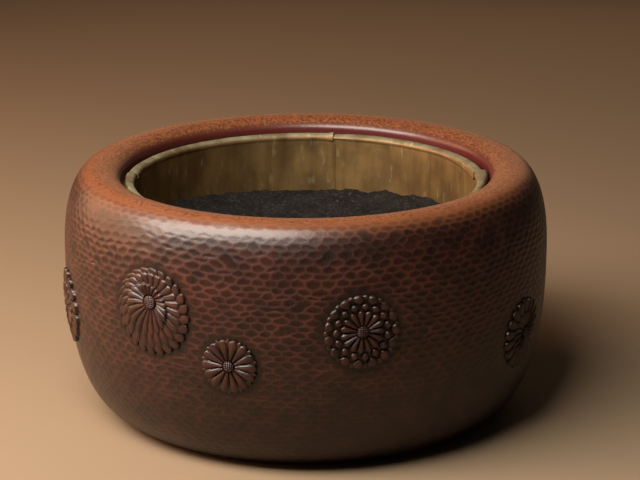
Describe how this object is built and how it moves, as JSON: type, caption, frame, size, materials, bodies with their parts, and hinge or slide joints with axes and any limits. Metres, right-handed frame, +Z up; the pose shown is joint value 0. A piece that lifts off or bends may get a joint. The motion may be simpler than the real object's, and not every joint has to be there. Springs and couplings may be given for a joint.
{
  "type": "wooden hibachi",
  "caption": "Round wooden hibachi hollowed from a log, with gouged sides, carved flower heads, a rounded lip and a lift-out brass liner that holds a bed of ash.",
  "frame": {"origin": "middle of the foot ring, on the floor that the hibachi stands on", "axes": "+Z up out of the mouth, -Y towards the picture's viewer, +X to that viewer's right"},
  "size_m": [0.6086, 0.6126, 0.307],
  "materials": {
    "lacquered_wood": "satin",
    "base_wood": "matte",
    "bamboo": "matte",
    "liner_brass": "satin",
    "hoop_iron": "matte",
    "ash": "matte"
  },
  "bodies": {
    "log": {"log_body": "lacquered_wood", "base_plank_left": "base_wood", "base_plank_middle": "base_wood", "base_plank_right": "base_wood", "base_peg_1": "bamboo", "base_peg_2": "bamboo", "base_peg_3": "bamboo", "base_peg_4": "bamboo", "base_peg_5": "bamboo", "base_peg_6": "bamboo", "base_peg_7": "bamboo", "base_peg_8": "bamboo", "plank_dowel_1": "bamboo", "plank_dowel_2": "bamboo", "plank_dowel_3": "bamboo", "plank_dowel_4": "bamboo", "plank_dowel_5": "bamboo", "plank_dowel_6": "bamboo"},
    "liner": {"liner_floor": "liner_brass", "liner_sheet_back_right": "liner_brass", "liner_sheet_back_left": "liner_brass", "liner_sheet_front_left": "liner_brass", "liner_sheet_front_right": "liner_brass", "rim_hoop": "hoop_iron", "ash_bed": "ash"}
  },
  "joints": [
    {"name": "liner_lift", "type": "slide", "parent": "log", "child": "liner", "axis": [0, 0, 1], "range_m": [0, 0.3]}
  ]
}
